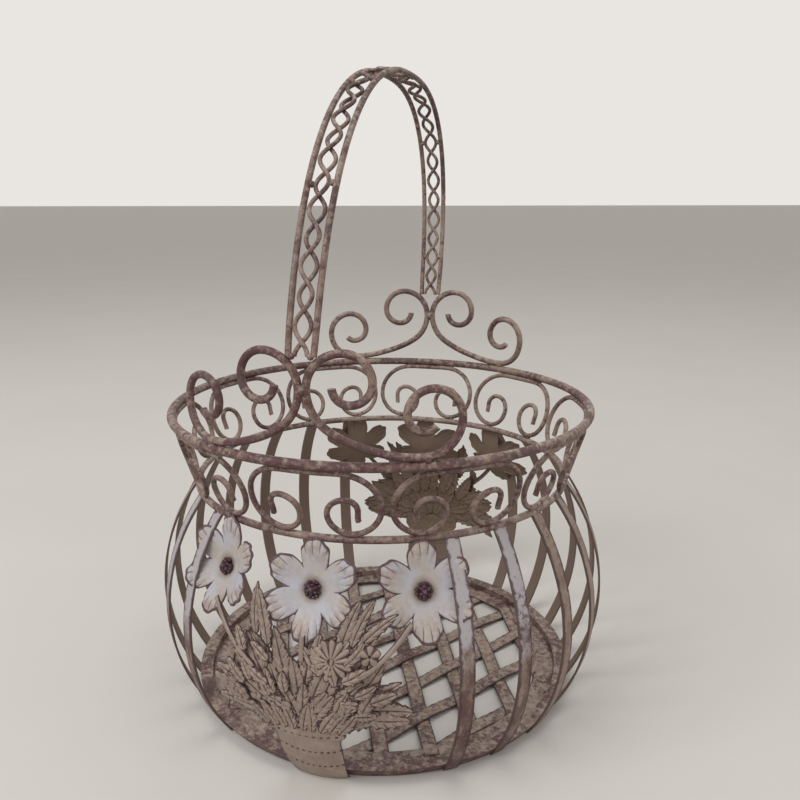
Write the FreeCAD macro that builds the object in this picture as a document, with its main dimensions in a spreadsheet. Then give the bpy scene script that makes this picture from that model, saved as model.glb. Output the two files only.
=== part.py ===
"""Round wrought-metal basket with two flower panels and a tall braided bail.

Frame: origin at the centre of the base on the ground plane, +Z up, the two
flower panels face -Y (front) and +Y (back), the bail stands in the YZ plane.
An azimuth is an angle round +Z, measured from the front (-Y) towards +X.
Lengths are millimetres, angles degrees.
"""
import FreeCAD, Part
import Sketcher
import math
import os

from FreeCAD import Placement, Rotation, Vector

DRIVING_SIZES = [
    ("rim_radius", 125.0, "rim hoop, centre line"),
    ("rim_rod", 5.0, "rim hoop, rod diameter"),
    ("rim_height", 176.0, "rim hoop, centre line above the ground"),
    ("neck_radius", 112.0, "neck hoop, centre line"),
    ("neck_rod", 4.0, "neck hoop, rod diameter"),
    ("neck_height", 134.0, "neck hoop, centre line above the ground"),
    ("foot_radius", 115.0, "belly line at the ground"),
    ("belly_arc", 111.0, "radius of the arc that the ribs and panels follow"),
    ("foot_height", 7.0, "height of the base ring"),
    ("foot_wall", 3.5, "base ring, wall at the ground"),
    ("rib_width", 8.0, "ribs, flat bar width"),
    ("rib_gauge", 1.2, "ribs and panels, thickness"),
    ("rib_first", 34.5, "azimuth of the rib nearest the front"),
    ("rib_last", 150.0, "azimuth of the rib nearest the back"),
    ("base_gauge", 1.2, "base sheet, thickness"),
    ("base_lift", 1.0, "base sheet, underside above the ground"),
    ("lattice_pitch", 27.0, "base sheet, distance between parallel bars"),
    ("lattice_bar", 9.0, "base sheet, bar width"),
    ("lattice_margin", 11.0, "base sheet, plain edge round the lattice"),
    ("collar_wire", 3.0, "collar scrolls, wire diameter"),
    ("crest_wire", 4.0, "crest scrolls, wire diameter"),
    ("handle_rod", 3.2, "bail, side rod diameter"),
    ("handle_top", 369.0, "bail, centre line at the crown above the ground"),
    ("handle_lean", 40.0, "bail, how far the crown stands back of the feet"),
    ("handle_foot_gap", 12.4, "bail, distance between side rods at the feet"),
    ("handle_crown_gap", 15.2, "bail, distance between side rods at the crown"),
    ("wave_wire", 2.2, "bail, waved wire diameter"),
    ("wave_swing", 3.6, "bail, sideways swing of the waves"),
    ("wave_pitch", 14.0, "bail, distance between crossings of the waves"),
    ("flower_reach", 25.0, "flowers, petal tip from the centre"),
    ("flower_depth", 5.0, "flowers, depth of the dish"),
    ("flower_gauge", 1.0, "flowers, sheet thickness"),
    ("flower_spread", 26.5, "flowers, azimuth between neighbours"),
    ("petal_width", 17.0, "flowers, petal width"),
    ("stud_radius", 3.5, "flowers, centre stud"),
    ("stud_foot", 1.6, "flowers, straight part of the centre stud"),
    ("tack_bead", 1.65, "bail, radius of a tack weld"),
    ("pot_width", 35.0, "panels, width of the flower pot at its foot"),
    ("pot_height", 44.0, "panels, top of the flower pot above the ground"),
    ("pot_rim_width", 41.3, "panels, width of the flower pot at its rim"),
    ("stem_width", 8.0, "panels, width of the stem under each outer flower"),
    ("panel_height", 107.0, "panels, top of the sheet above the ground"),
    ("foliage_width", 90.0, "panels, width of the foliage"),
    ("foliage_height", 56.0, "panels, height of the foliage"),
    ("weld_bite", 0.1, "how far welded pieces sink into each other"),
]

COLLAR_UNITS = 10
RIBS_PER_SIDE = 9
LATTICE_ANGLES = (54.5, 113.5)
LATTICE_BARS = 8
PETALS = 6
FOLIAGE_LEAVES = 13
LEAF_LOBES = 5
PIERCINGS = 7
PANEL_HALF_ANGLE = 34.0
TACK_EVERY = 6

# A scroll is a chain of (radius, sweep) arcs, each tangent to the one before.
COLLAR_FLAT = 13.8
COLLAR_ARCS = [(20.7, 90), (16.0, 90), (11.3, 90), (9.7, 90), (6.0, 90)]
COLLAR_TAIL = 6.5
CREST_HEADING = -85.0
CREST_INNER_ARCS = [(8.3, 85), (10.5, 90), (13.5, 90), (17.5, 90)]
CREST_STEM_ARCS = [(23.0, 60), (87.5, 30)]
CREST_OUTER_ARCS = [(18.0, 90), (14.5, 90), (12.0, 90), (8.5, 90), (7.0, 50)]
ARC_STEP = 18.0

# The bail is a superellipse: fuller at the shoulders than a plain ellipse.
HANDLE_FULLNESS = 2.5
HANDLE_STEPS = 40
STEPS_PER_WAVE = 4
WAVE_STRETCHES = 12

# Long wires are swept in stretches.
SCROLL_STRETCHES = 8

nodes = []


def new_document():
    document = FreeCAD.newDocument("basket")
    table = document.addObject("Spreadsheet::Sheet", "Sizes")
    for row, (alias, value, note) in enumerate(DRIVING_SIZES, start=1):
        table.set("A%d" % row, alias)
        table.set("B%d" % row, str(value))
        table.set("C%d" % row, note)
        table.setAlias("B%d" % row, alias)
    document.recompute()
    return document, table


doc, sheet = new_document()


def size(alias):
    """A driving dimension as a plain number."""
    return float(getattr(sheet, alias))


def add(kind, name, **expressions):
    """New document object with properties bound to the sheet."""
    made = doc.addObject(kind, name)
    for prop, text in expressions.items():
        made.setExpression(prop, text)
    return made


def keep(made, name):
    """Name a finished sub-part."""
    made.Label = name
    nodes.append(made)
    return made


def at_azimuth(angle):
    """Placement that turns a piece's +X side to an azimuth."""
    return Placement(Vector(), Rotation(Vector(0, 0, 1), angle - 90.0))


def polar(angle, radius, height):
    turn = math.radians(angle)
    return Vector(radius * math.sin(turn), -radius * math.cos(turn), height)


def outline_sketch(body, name):
    """Sketch on the body's own XZ plane: x is the radius, y the height."""
    plane = [o for o in body.Origin.OriginFeatures if o.Role == "XZ_Plane"][0]
    sketch = body.newObject("Sketcher::SketchObject", name)
    sketch.AttachmentSupport = [(plane, "")]
    sketch.MapMode = "FlatFace"
    return sketch


# ------------------------------------------------------------ the belly curve

def belly_centre():
    """Centre (radius, height) of the arc through the ground and the neck hoop."""
    foot = Vector(size("foot_radius"), 0, 0)
    neck = Vector(size("neck_radius"), size("neck_height"), 0)
    chord = neck - foot
    rise = math.sqrt(size("belly_arc") ** 2 - (chord.Length / 2.0) ** 2)
    inward = Vector(-chord.y, chord.x, 0)
    inward.normalize()
    return (foot + neck) * 0.5 + inward * rise


def belly_point(offset, height):
    """Point of the arc shifted outward by offset, at a height."""
    centre = belly_centre()
    radius = size("belly_arc") + offset
    return Vector(centre.x + math.sqrt(radius ** 2 - (height - centre.y) ** 2), height, 0)


def arc_between(centre, first, last):
    """Arc round centre, counterclockwise from first to last."""
    radius = (first - centre).Length
    start = math.atan2(first.y - centre.y, first.x - centre.x)
    end = math.atan2(last.y - centre.y, last.x - centre.x)
    circle = Part.Circle(centre, Vector(0, 0, 1), radius)
    return Part.ArcOfCircle(circle, start, end)


def guide_arc(sketch):
    """Construction arc from the ground to the neck hoop, fixed by the sheet."""
    foot = Vector(size("foot_radius"), 0, 0)
    neck = Vector(size("neck_radius"), size("neck_height"), 0)
    guide = sketch.addGeometry(arc_between(belly_centre(), foot, neck), True)
    bound = [
        (Sketcher.Constraint("DistanceX", -1, 1, guide, 1, foot.x), "Sizes.foot_radius"),
        (Sketcher.Constraint("PointOnObject", guide, 1, -1), None),
        (Sketcher.Constraint("DistanceX", -1, 1, guide, 2, neck.x), "Sizes.neck_radius"),
        (Sketcher.Constraint("DistanceY", -1, 1, guide, 2, neck.y), "Sizes.neck_height"),
        (Sketcher.Constraint("Radius", guide, size("belly_arc")), "Sizes.belly_arc"),
    ]
    constrain(sketch, bound)
    return guide


def constrain(sketch, bound):
    """Add constraints and bind those that come with an expression."""
    for constraint, text in bound:
        number = sketch.addConstraint(constraint)
        if text:
            sketch.setExpression("Constraints[%d]" % number, text)


def join_corners(sketch, corners):
    """Make line and arc ends meet: (curve, end, curve, end)."""
    for corner in corners:
        sketch.addConstraint(Sketcher.Constraint("Coincident", *corner))


# ------------------------------------------------------------------- hoops

def hoop(name, radius, rod, height):
    """Round rod bent to a closed hoop."""
    ring = add("Part::Torus", name, Radius1="Sizes." + radius, Radius2="Sizes.%s / 2" % rod)
    ring.setExpression("Placement.Base.z", "Sizes." + height)
    keep(ring, name)


def base_ring():
    """Bar rolled to the belly's slope, flat underneath, that the basket stands on."""
    body = doc.addObject("PartDesign::Body", "base_ring_body")
    sketch = outline_sketch(body, "base_ring_section")
    guide = guide_arc(sketch)
    offset = size("weld_bite") - size("rib_gauge") / 2.0
    low = belly_point(offset, 0.0)
    high = belly_point(offset, size("foot_height"))
    inner = size("foot_radius") - size("foot_wall")
    corner_low = Vector(inner, 0, 0)
    corner_high = Vector(inner, high.y, 0)
    outer = sketch.addGeometry(arc_between(belly_centre(), low, high))
    top = sketch.addGeometry(Part.LineSegment(high, corner_high))
    wall = sketch.addGeometry(Part.LineSegment(corner_high, corner_low))
    under = sketch.addGeometry(Part.LineSegment(corner_low, low))
    join_corners(sketch, [(outer, 2, top, 1), (top, 2, wall, 1), (wall, 2, under, 1),
                          (under, 2, outer, 1), (outer, 3, guide, 3)])
    constrain(sketch, [
        (Sketcher.Constraint("Radius", outer, size("belly_arc") + offset),
         "Sizes.belly_arc - Sizes.rib_gauge / 2 + Sizes.weld_bite"),
        (Sketcher.Constraint("PointOnObject", outer, 1, -1), None),
        (Sketcher.Constraint("PointOnObject", wall, 2, -1), None),
        (Sketcher.Constraint("Vertical", wall), None),
        (Sketcher.Constraint("Horizontal", top), None),
        (Sketcher.Constraint("DistanceX", -1, 1, wall, 2, inner), "Sizes.foot_radius - Sizes.foot_wall"),
        (Sketcher.Constraint("DistanceY", -1, 1, top, 1, high.y), "Sizes.foot_height"),
    ])
    ring = body.newObject("PartDesign::Revolution", "base_ring_turn")
    ring.Profile = sketch
    ring.ReferenceAxis = (sketch, ["V_Axis"])
    ring.Angle = 360.0
    body.Tip = ring
    keep(body, "base_ring")


# -------------------------------------------------------------------- ribs

def rib(name, angle):
    """Flat bar bent to the belly arc, standing between base ring and neck hoop."""
    body = doc.addObject("PartDesign::Body", name + "_body")
    sketch = outline_sketch(body, name + "_edge")
    guide = guide_arc(sketch)
    half = size("rib_gauge") / 2.0
    centre = belly_centre()
    neck = Vector(size("neck_radius"), size("neck_height"), 0)
    stop = (size("neck_rod") / 2.0 - size("weld_bite")) / size("belly_arc")
    lean = math.atan2(neck.y - centre.y, neck.x - centre.x) - stop
    direction = Vector(math.cos(lean), math.sin(lean), 0)
    toe_height = size("base_lift") / 2.0
    low_in = belly_point(-half, toe_height)
    low_out = belly_point(half, toe_height)
    high_in = centre + direction * (size("belly_arc") - half)
    high_out = centre + direction * (size("belly_arc") + half)
    outside = sketch.addGeometry(arc_between(centre, low_out, high_out))
    end = sketch.addGeometry(Part.LineSegment(high_out, high_in))
    inside = sketch.addGeometry(arc_between(centre, low_in, high_in))
    toe = sketch.addGeometry(Part.LineSegment(low_in, low_out))
    join_corners(sketch, [(outside, 2, end, 1), (end, 2, inside, 2), (inside, 1, toe, 1),
                          (toe, 2, outside, 1), (outside, 3, guide, 3), (inside, 3, guide, 3)])
    constrain(sketch, [
        (Sketcher.Constraint("Radius", outside, size("belly_arc") + half),
         "Sizes.belly_arc + Sizes.rib_gauge / 2"),
        (Sketcher.Constraint("Radius", inside, size("belly_arc") - half),
         "Sizes.belly_arc - Sizes.rib_gauge / 2"),
        (Sketcher.Constraint("Horizontal", toe), None),
        (Sketcher.Constraint("DistanceY", -1, 1, toe, 1, toe_height), "Sizes.base_lift / 2"),
        (Sketcher.Constraint("PointOnObject", guide, 3, end), None),
        (Sketcher.Constraint("Distance", guide, 2, end, size("neck_rod") / 2.0 - size("weld_bite")),
         "Sizes.neck_rod / 2 - Sizes.weld_bite"),
    ])
    bar = body.newObject("PartDesign::Pad", name + "_bar")
    bar.Profile = sketch
    bar.Midplane = True
    bar.setExpression("Length", "Sizes.rib_width")
    body.Tip = bar
    body.Placement = at_azimuth(angle)
    keep(body, name)


def ribs():
    step = (size("rib_last") - size("rib_first")) / (RIBS_PER_SIDE - 1)
    number = 0
    for side in (1, -1):
        for place in range(RIBS_PER_SIDE):
            number += 1
            rib("rib_%02d" % number, side * (size("rib_first") + place * step))


# -------------------------------------------------------------- base sheet

def base_lattice():
    """Sheet pierced with a skewed lattice, welded inside the base ring."""
    edge = "Sizes.foot_radius - Sizes.foot_wall + Sizes.weld_bite"
    disc = add("Part::Cylinder", "base_disc", Radius=edge, Height="Sizes.base_gauge")
    field = add("Part::Cylinder", "base_field", Radius=edge + " - Sizes.lattice_margin",
                Height="Sizes.base_gauge")
    margin = doc.addObject("Part::Cut", "base_margin")
    margin.Base = disc
    margin.Tool = field
    bars = []
    for family, angle in enumerate(LATTICE_ANGLES):
        turn = Rotation(Vector(0, 0, 1), angle)
        for place in range(LATTICE_BARS):
            steps = place - (LATTICE_BARS - 1) / 2.0
            bar = add("Part::Box", "base_bar_%d_%d" % (family, place), Width="Sizes.lattice_bar",
                      Height="Sizes.base_gauge", Length="2 * Sizes.foot_radius")
            shift = steps * size("lattice_pitch") - size("lattice_bar") / 2.0
            bar.Placement = Placement(turn.multVec(Vector(-size("foot_radius"), shift, 0)), turn)
            bars.append(bar)
    weave = doc.addObject("Part::MultiFuse", "base_weave")
    weave.Shapes = bars
    trimmed = doc.addObject("Part::MultiCommon", "base_trimmed")
    inside = add("Part::Cylinder", "base_inside", Radius=edge + " - Sizes.lattice_margin / 2",
                 Height="Sizes.base_gauge")
    trimmed.Shapes = [weave, inside]
    whole = doc.addObject("Part::MultiFuse", "base_sheet")
    whole.Shapes = [margin, trimmed]
    whole.Refine = True
    whole.setExpression("Placement.Base.z", "Sizes.base_lift")
    keep(whole, "base_lattice")


# ------------------------------------------------------------ scroll paths

def arc_chain(start, heading, arcs, side):
    """Points along a chain of tangent arcs in a flat drawing.

    side is 1 for arcs that turn left and -1 for arcs that turn right. Returns
    the points, the last point and the last heading.
    """
    points = [start]
    place = start
    for radius, sweep in arcs:
        turn = math.radians(heading)
        centre = place + Vector(-math.sin(turn), math.cos(turn), 0) * (side * radius)
        steps = max(2, int(math.ceil(sweep / ARC_STEP)))
        for number in range(1, steps + 1):
            swung = math.radians(heading + side * sweep * number / steps)
            points.append(centre + Vector(math.sin(swung), -math.cos(swung), 0) * (side * radius))
        heading += side * sweep
        place = points[-1]
    return points, place, heading


def swept_wire(name, points, diameter, stretches=1):
    """Round wire along a smooth curve through the points.

    A long path is cut into stretches, which leaves the curve itself as it is.
    """
    curve = Part.BSplineCurve()
    curve.interpolate(points)
    first = curve.FirstParameter
    span = (curve.LastParameter - first) / stretches
    edges = [curve.toShape(first + span * i, first + span * (i + 1)) for i in range(stretches)]
    spine = doc.addObject("Part::Feature", name + "_path")
    spine.Shape = Part.Wire(edges)
    end = add("Part::Circle", name + "_end", Radius="Sizes.%s / 2" % diameter)
    end.Placement = Placement(points[0], Rotation(Vector(0, 0, 1), curve.tangent(first)[0]))
    wire = doc.addObject("Part::Sweep", name + "_sweep")
    wire.Sections = [end]
    wire.Spine = (spine, ["Edge%d" % (i + 1) for i in range(stretches)])
    wire.Solid = True
    wire.Frenet = False
    return keep(wire, name)


def collar_half():
    """Right half of a collar scroll, from the middle of its top to its inner end."""
    top = sum(radius for radius, sweep in COLLAR_ARCS[:2])
    middle = Vector(0, top, 0)
    flat = Vector(COLLAR_FLAT, top, 0)
    points, last, heading = arc_chain(flat, 0.0, COLLAR_ARCS, -1)
    return [middle, (middle + flat) * 0.5] + points + [last - Vector(0, COLLAR_TAIL, 0)]


def collar_scroll(number):
    """Horned scroll wrapped on the cone between the neck and rim hoops."""
    rim = Vector(size("rim_radius"), size("rim_height"), 0)
    neck = Vector(size("neck_radius"), size("neck_height"), 0)
    slope = (rim - neck).Length
    wire = size("collar_wire") / 2.0
    low = size("neck_rod") / 2.0 + wire - size("weld_bite")
    high = slope - size("rim_rod") / 2.0 - wire + size("weld_bite")
    half = collar_half()
    drawn_width = max(point.x for point in half)
    drawn_height = half[0].y
    half_angle = 180.0 / COLLAR_UNITS - math.degrees((wire + 1.0) / size("neck_radius"))
    path = []
    for point in [Vector(-p.x, p.y, 0) for p in reversed(half[1:])] + half:
        along = (low + point.y / drawn_height * (high - low)) / slope
        spot = neck + (rim - neck) * along
        azimuth = number * 360.0 / COLLAR_UNITS + point.x / drawn_width * half_angle
        path.append(polar(azimuth, spot.x, spot.y))
    swept_wire("collar_scroll_%02d" % (number + 1), path, "collar_wire", SCROLL_STRETCHES)


def crest_half():
    """Crest scroll, drawn with its joint side at x = 0 and its lowest line at y = 0."""
    points, place, heading = arc_chain(Vector(), CREST_HEADING, CREST_INNER_ARCS + CREST_STEM_ARCS, 1)
    low = place.y
    outer, place, heading = arc_chain(place, heading, CREST_OUTER_ARCS, 1)
    left = min(point.x for point in points)
    return [point - Vector(left, low, 0) for point in points + outer[1:]]


def crest_scroll(name, angle, side):
    """Double curl that stands on the rim hoop and follows its curve."""
    wire = size("crest_wire") / 2.0
    bottom = size("rim_height") + size("rim_rod") / 2.0 + wire - size("weld_bite")
    path = []
    for point in crest_half():
        reach = point.x + wire - size("weld_bite") / 2.0
        azimuth = angle + side * math.degrees(reach / size("rim_radius"))
        path.append(polar(azimuth, size("rim_radius"), bottom + point.y))
    swept_wire(name, path, "crest_wire", SCROLL_STRETCHES)


def crest_top(reach):
    """Height of the crest's upper edge at a distance from its joint."""
    radius = CREST_INNER_ARCS[-1][0]
    wire = size("crest_wire") / 2.0
    stem = 0.0
    lean = sum(sweep for arc, sweep in CREST_STEM_ARCS)
    for arc, sweep in CREST_STEM_ARCS:
        stem += arc * (math.cos(math.radians(lean - sweep)) - math.cos(math.radians(lean)))
        lean -= sweep
    across = radius - (reach - wire)
    rise = math.sqrt((radius + wire) ** 2 - across ** 2)
    return size("rim_height") + size("rim_rod") / 2.0 + wire + stem + rise


# --------------------------------------------------------------- the bail

def bail_point(turn):
    """Centre of the bail at a turn from 0 (front foot) to 180 (back foot).

    Returns the point, the outward direction and the share of the height.
    """
    outer_side = size("handle_foot_gap") / 2.0 + size("handle_rod") / 2.0
    foot = crest_top(outer_side) - 2.0 * size("weld_bite")
    rise = size("handle_top") - foot
    swing = math.radians(turn)
    power = 2.0 / HANDLE_FULLNESS
    share = abs(math.sin(swing)) ** power
    across = math.copysign(abs(math.cos(swing)) ** power, -math.cos(swing))
    y = across * size("rim_radius") + share * size("handle_lean")
    return Vector(0, y, foot + rise * share), share


def bail_line():
    """Evenly spaced points of the bail's centre line with their lengths."""
    fine = [bail_point(180.0 * i / 400)[0] for i in range(401)]
    lengths = [0.0]
    for first, second in zip(fine, fine[1:]):
        lengths.append(lengths[-1] + (second - first).Length)
    return fine, lengths


def point_at(fine, lengths, distance):
    """Point, direction and height share at a distance along the bail."""
    number = 1
    while lengths[number] < distance and number < len(fine) - 1:
        number += 1
    ratio = (distance - lengths[number - 1]) / (lengths[number] - lengths[number - 1])
    first = fine[number - 1]
    along = fine[number] - first
    point = first + along * ratio
    along.normalize()
    share = (point.z - fine[0].z) / (fine[len(fine) // 2].z - fine[0].z)
    return point, along, max(0.0, share)


def side_gap(share):
    """Half the distance between the side rods at a share of the height."""
    foot = size("handle_foot_gap") / 2.0
    crown = size("handle_crown_gap") / 2.0
    return foot + (crown - foot) * math.sqrt(min(1.0, share))


def bail_rod(name, side):
    """One side rod of the bail."""
    fine, lengths = bail_line()
    path = []
    for number in range(HANDLE_STEPS + 1):
        point, along, share = point_at(fine, lengths, lengths[-1] * number / HANDLE_STEPS)
        path.append(point + Vector(side * side_gap(share), 0, 0))
    swept_wire(name, path, "handle_rod", SCROLL_STRETCHES)


def bail_wave(name, side):
    """One waved wire of the bail; the two waves pass over and under each other."""
    fine, lengths = bail_line()
    halves = 2 * int(round(lengths[-1] / size("wave_pitch") / 2.0))
    count = halves * STEPS_PER_WAVE
    lift = size("wave_wire") / 2.0 - size("weld_bite") / 2.0
    path = []
    for number in range(count + 1):
        share_along = number / count
        point, along, share = point_at(fine, lengths, lengths[-1] * share_along)
        outward = Vector(0, -along.z, along.y)
        swing = size("wave_swing") * math.cos(math.pi * halves * share_along)
        path.append(point + Vector(side * swing, 0, 0) + outward * (side * lift))
    swept_wire(name, path, "wave_wire", WAVE_STRETCHES)


def bail_tacks():
    """Short weld beads that tie the waves to the side rods."""
    fine, lengths = bail_line()
    halves = 2 * int(round(lengths[-1] / size("wave_pitch") / 2.0))
    lift = size("wave_wire") / 2.0 - size("weld_bite") / 2.0
    beads = []
    for crest in range(0, halves + 1, TACK_EVERY):
        point, along, share = point_at(fine, lengths, lengths[-1] * crest / halves)
        outward = Vector(0, -along.z, along.y)
        for side in (1, -1):
            wave = side if crest % 2 == 0 else -side
            inner = point + Vector(side * size("wave_swing"), 0, 0) + outward * (wave * lift)
            outer = point + Vector(side * side_gap(share), 0, 0)
            bead = doc.addObject("Part::Sphere", "bead")
            bead.setExpression("Radius", "Sizes.tack_bead")
            bead.Placement = Placement((inner + outer) * 0.5, Rotation())
            beads.append(bead)
    group = doc.addObject("Part::Compound", "bead_group")
    group.Links = beads
    keep(group, "handle_tack_welds")


# ------------------------------------------------------- panels and flowers

def belly_skin(name):
    """Thin shell on the belly, as wide as a panel can be, facing +X."""
    body = doc.addObject("PartDesign::Body", name + "_skin")
    sketch = outline_sketch(body, name + "_skin_edge")
    guide = guide_arc(sketch)
    half = size("rib_gauge") / 2.0
    low = size("base_lift") / 2.0
    high = size("panel_height")
    outer_low, outer_high = belly_point(half, low), belly_point(half, high)
    inner_low, inner_high = belly_point(-half, low), belly_point(-half, high)
    outside = sketch.addGeometry(arc_between(belly_centre(), outer_low, outer_high))
    top = sketch.addGeometry(Part.LineSegment(outer_high, inner_high))
    inside = sketch.addGeometry(arc_between(belly_centre(), inner_low, inner_high))
    toe = sketch.addGeometry(Part.LineSegment(inner_low, outer_low))
    join_corners(sketch, [(outside, 2, top, 1), (top, 2, inside, 2), (inside, 1, toe, 1),
                          (toe, 2, outside, 1), (outside, 3, guide, 3), (inside, 3, guide, 3)])
    constrain(sketch, [
        (Sketcher.Constraint("Radius", outside, size("belly_arc") + half),
         "Sizes.belly_arc + Sizes.rib_gauge / 2"),
        (Sketcher.Constraint("Radius", inside, size("belly_arc") - half),
         "Sizes.belly_arc - Sizes.rib_gauge / 2"),
        (Sketcher.Constraint("Horizontal", toe), None),
        (Sketcher.Constraint("Horizontal", top), None),
        (Sketcher.Constraint("DistanceY", -1, 1, toe, 1, low), "Sizes.base_lift / 2"),
        (Sketcher.Constraint("DistanceY", -1, 1, top, 1, high), "Sizes.panel_height"),
    ])
    skin = body.newObject("PartDesign::Revolution", name + "_skin_turn")
    skin.Profile = sketch
    skin.ReferenceAxis = (sketch, ["V_Axis"])
    skin.Midplane = True
    skin.Angle = 2 * PANEL_HALF_ANGLE
    body.Tip = skin
    return body


def round_cutter(name, across, height, radius):
    """Round cutter along +X at a place across (+Y) and up (+Z) the panel."""
    made = add("Part::Cylinder", name, Height="2 * Sizes.foot_radius")
    made.Radius = radius
    made.Placement = Placement(Vector(0, across, height), Rotation(Vector(0, 1, 0), 90.0))
    return made


def strip(name, first, last, width):
    """Straight cutter, as wide as a named size, between two places on the panel."""
    run = last - first
    bar = add("Part::Box", name, Length="2 * Sizes.foot_radius", Height="Sizes." + width)
    bar.Width = run.Length
    turn = Rotation(Vector(1, 0, 0), math.degrees(math.atan2(run.z, run.y)))
    bar.Placement = Placement(first - turn.multVec(Vector(0, 0, size(width) / 2.0)), turn)
    return bar


def foliage_bed():
    """Height of the middle of the foliage, half its width, half its height, leaf radius."""
    half_width = size("foliage_width") / 2.0
    half_height = size("foliage_height") / 2.0
    leaf = half_height * 0.36
    bed = size("pot_height") + half_height - leaf * 0.3
    return bed, half_width, half_height, leaf


def pot_blank(name):
    """Outline of the pot: a straight body with a wider rim."""
    top = size("pot_height")
    rim = top / 8.0
    return [strip(name + "_pot", Vector(), Vector(0, 0, top + rim), "pot_width"),
            strip(name + "_pot_rim", Vector(0, 0, top - rim), Vector(0, 0, top + rim), "pot_rim_width")]


def foliage_blank(name):
    """Outline of the foliage: round leaves in a ring about a plain middle."""
    bed, half_width, half_height, leaf = foliage_bed()
    pieces = []
    for number in range(FOLIAGE_LEAVES):
        swing = 2.0 * math.pi * number / FOLIAGE_LEAVES
        across = (half_width - leaf) * math.cos(swing)
        height = bed + (half_height - leaf) * math.sin(swing)
        radius = leaf * (1.0 + 0.15 * math.sin(LEAF_LOBES * swing))
        pieces.append(round_cutter(name + "_leaf", across, height, radius))
    core = add("Part::Box", name + "_core", Length="2 * Sizes.foot_radius")
    core.Width = 2.0 * (half_width - leaf)
    core.Height = 2.0 * (half_height - leaf * 1.2)
    core.Placement.Base = Vector(0, -core.Width.Value / 2.0, bed - core.Height.Value / 2.0)
    return pieces + [core]


def stem_blanks(name):
    """Stems from the foliage up to the lowest petal of each flower."""
    bed, half_width, half_height, leaf = foliage_bed()
    tip = flower_place()[0]
    top = tip.y + size("stem_width") / 2.0
    outer = math.sin(math.radians(size("flower_spread"))) * tip.x
    stems = []
    for side in (-1, 0, 1):
        foot = Vector(0, side * half_width / 2.0, bed)
        stems.append(strip(name + "_stem", foot, Vector(0, side * outer, top), "stem_width"))
    return stems


def piercings(name):
    """Round holes in a ring through the foliage."""
    bed, half_width, half_height, leaf = foliage_bed()
    holes = []
    for number in range(PIERCINGS):
        swing = 2.0 * math.pi * (number + 0.5) / PIERCINGS
        across = half_width / 2.0 * math.cos(swing)
        height = bed + half_height / 2.0 * math.sin(swing)
        holes.append(round_cutter(name + "_piercing", across, height, leaf * 0.3))
    return holes


def panel(name, angle):
    """Stamped sheet: a pot of foliage with a stem under each flower."""
    outline = doc.addObject("Part::MultiFuse", name + "_outline")
    outline.Shapes = pot_blank(name) + foliage_blank(name) + stem_blanks(name)
    blank = doc.addObject("Part::MultiCommon", name + "_blank")
    blank.Shapes = [belly_skin(name), outline]
    group = doc.addObject("Part::Compound", name + "_piercings")
    group.Links = piercings(name)
    made = doc.addObject("Part::Cut", name + "_pierced")
    made.Base = blank
    made.Tool = group
    made.Placement = at_azimuth(angle)
    keep(made, name)


def dish_radius():
    """Back radius of the dished flower."""
    reach = size("flower_reach")
    depth = size("flower_depth")
    return (reach ** 2 + depth ** 2) / (2.0 * depth)


def flower_place():
    """Lower petal tip, upward direction and outward direction of a flower.

    Worked out in the (radius, height) plane: the top petal's back touches the
    neck hoop, the bottom petal's tip touches the panel.
    """
    bite = size("weld_bite")
    reach = size("flower_reach")
    rest = size("neck_rod") / 2.0 - bite
    slope = math.asin(reach / dish_radius())
    neck = Vector(size("neck_radius"), size("neck_height"), 0)
    centre = belly_centre()
    skin = size("belly_arc") + size("rib_gauge") / 2.0 - bite
    low = 0.0
    high = 60.0
    for _ in range(60):
        tilt = math.radians((low + high) / 2.0)
        outward = Vector(math.cos(tilt), math.sin(tilt), 0)
        upward = Vector(-math.sin(tilt), math.cos(tilt), 0)
        top = neck - (upward * math.sin(slope) - outward * math.cos(slope)) * rest
        bottom = top - upward * (2.0 * reach)
        if (bottom - centre).Length > skin:
            high = math.degrees(tilt)
        else:
            low = math.degrees(tilt)
    return bottom, upward, outward


def flower_frame(angle):
    """Placement of a flower: its z axis points outward, its y axis up."""
    bottom, upward, outward = flower_place()
    middle = bottom + upward * size("flower_reach")
    turn = math.radians(angle)
    out_dir = Vector(outward.x * math.sin(turn), -outward.x * math.cos(turn), outward.y)
    up_dir = Vector(upward.x * math.sin(turn), -upward.x * math.cos(turn), upward.y)
    side_dir = up_dir.cross(out_dir)
    return Placement(polar(angle, middle.x, middle.y), Rotation(side_dir, up_dir, out_dir, "ZXY"))


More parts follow.
